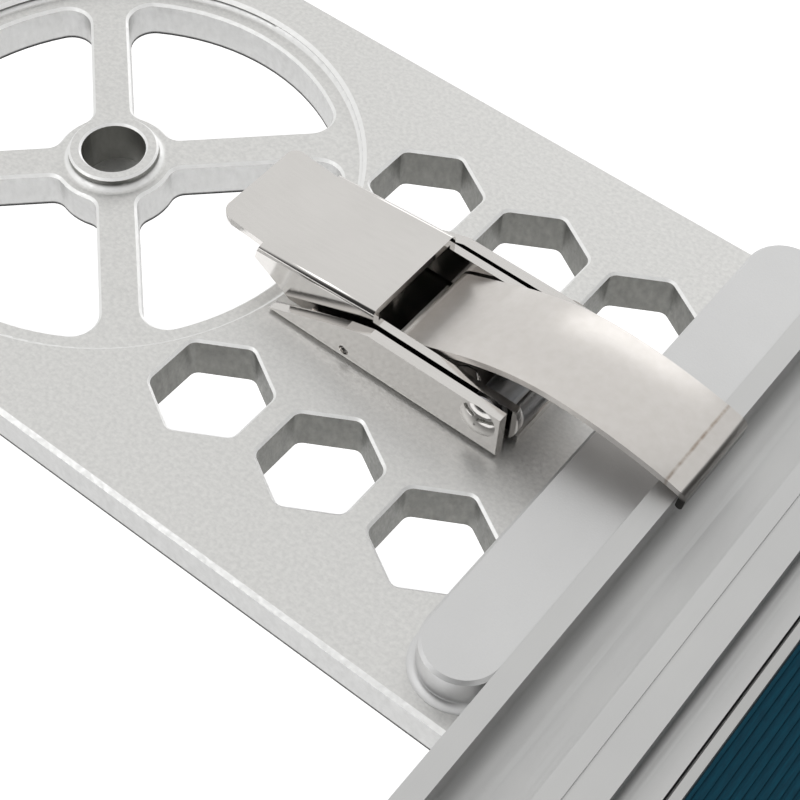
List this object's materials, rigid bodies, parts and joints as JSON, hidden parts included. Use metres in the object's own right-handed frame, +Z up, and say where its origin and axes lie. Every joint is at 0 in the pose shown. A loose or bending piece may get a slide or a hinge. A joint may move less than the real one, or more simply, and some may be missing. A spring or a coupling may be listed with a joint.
{
  "type": "circuit board vise section",
  "caption": "Milled plate with a round spoked opening and hexagonal holes, a stop bar and a toggle latch whose claw strap pulls a grooved jaw rail with a ribbed mat against the plate end.",
  "frame": {"origin": "axis of the hub bore at the plate's top face", "axes": "+X along the plate towards the jaw rail, +Y along the rail, +Z up, away from the plate's top face"},
  "size_m": [0.2194, 0.15, 0.0254],
  "materials": {
    "plate_aluminium": "satin, finely brushed",
    "bar_aluminium": "matte, bead blasted",
    "rail_aluminium": "satin, milled",
    "polished_steel": "polished stainless",
    "strap_steel": "satin stainless",
    "zinc_steel": "zinc plated",
    "black_rubber": "matte",
    "mat_teal": "matte, finely ribbed",
    "strip_grey": "satin"
  },
  "bodies": {
    "frame": {"base_plate": "plate_aluminium", "bore_plug": "plate_aluminium", "plate_feet": "black_rubber", "stop_bar": "bar_aluminium", "stop_bar_screws": "zinc_steel", "latch_base": "polished_steel", "latch_rivets": "polished_steel", "pivot_rivet": "polished_steel", "pivot_sleeve": "zinc_steel", "pivot_washers": "zinc_steel", "locating_dowels": "zinc_steel", "jaw_rail": "rail_aluminium", "outer_rail": "rail_aluminium", "backing_plate": "plate_aluminium", "work_mat": "mat_teal", "inner_strip": "strip_grey", "outer_strip": "strip_grey", "jaw_ledge_screws": "zinc_steel", "outer_ledge_screws": "zinc_steel"},
    "lever": {"latch_lever": "polished_steel", "strap_pin": "polished_steel"},
    "strap": {"latch_strap": "strap_steel"}
  },
  "joints": [
    {"name": "lever_pivot", "type": "hinge", "parent": "frame", "child": "lever", "pos_m": [0.0778, 0.00275, 0.006], "axis": [0, 1, 0], "range_deg": [0, 95]},
    {"name": "strap_pivot", "type": "hinge", "parent": "lever", "child": "strap", "pos_m": [0.0626, 0.00275, 0.0042], "axis": [0, -1, 0], "range_deg": [0, 80.75]}
  ],
  "couplings": [
    {"joint": "strap_pivot", "follows": "lever_pivot", "ratio": 0.85}
  ]
}
